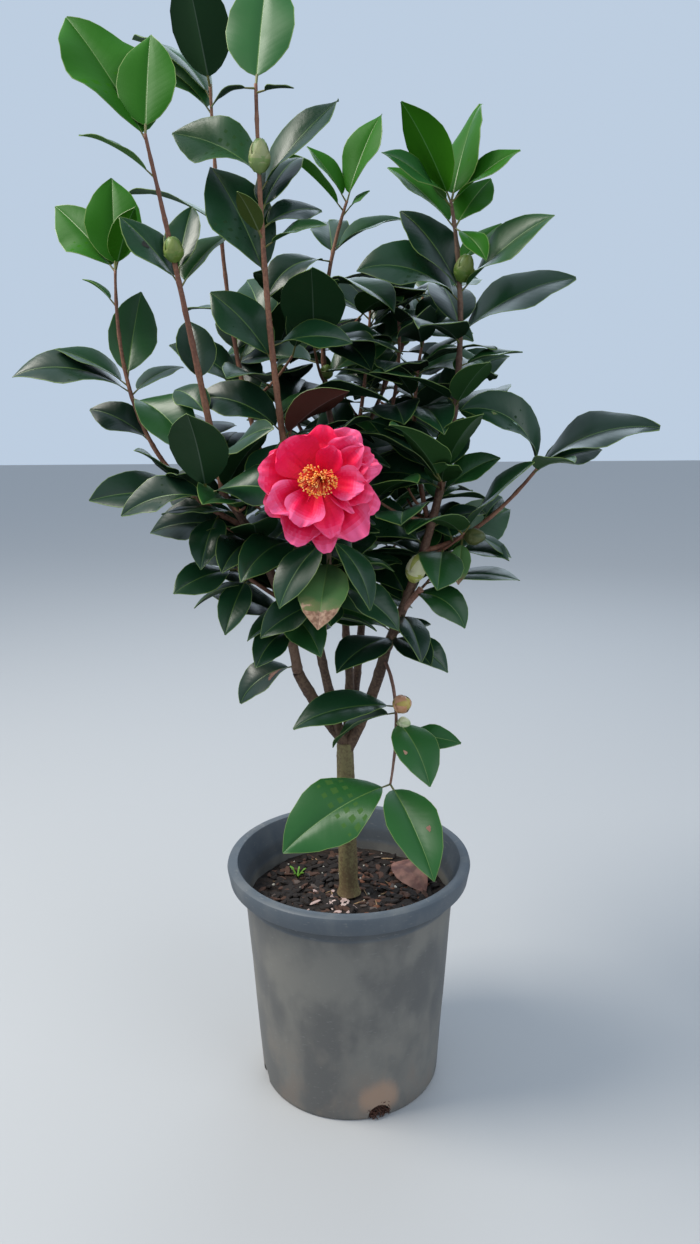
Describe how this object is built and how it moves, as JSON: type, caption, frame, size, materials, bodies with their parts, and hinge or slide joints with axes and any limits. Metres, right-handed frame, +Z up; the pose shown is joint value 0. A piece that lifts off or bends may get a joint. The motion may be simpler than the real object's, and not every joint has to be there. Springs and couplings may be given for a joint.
{
  "type": "potted camellia shrub",
  "caption": "Upright camellia shrub in a round dark nursery pot: a single stem that forks into boughs, sprays of glossy oval leaves, buds and a double pink bloom",
  "frame": {"origin": "centre of the pot's flat underside", "axes": "+Z up along the stem, -Y towards the side that the bloom faces"},
  "size_m": [0.6073, 0.4274, 1.0967],
  "materials": {
    "pot_plastic": "dusty, scuffed dark grey plastic",
    "soil": "crumbly potting mix with bark chips",
    "bark": "smooth grey-brown bark",
    "leaves": "glossy evergreen leaves",
    "bloom": "soft pink-red petals above dark leaves"
  },
  "bodies": {
    "root": {"pot": "pot_plastic", "potting_soil": "soil", "trunk": "bark", "bough_left": "bark", "bough_right": "bark", "bough_centre_left": "bark", "bough_centre": "bark", "bough_back": "bark", "foliage_left": "leaves", "foliage_centre_left": "leaves", "foliage_centre": "leaves", "foliage_right": "leaves", "foliage_low": "leaves", "foliage_back": "leaves", "bloom_spray": "bloom"}
  },
  "joints": []
}
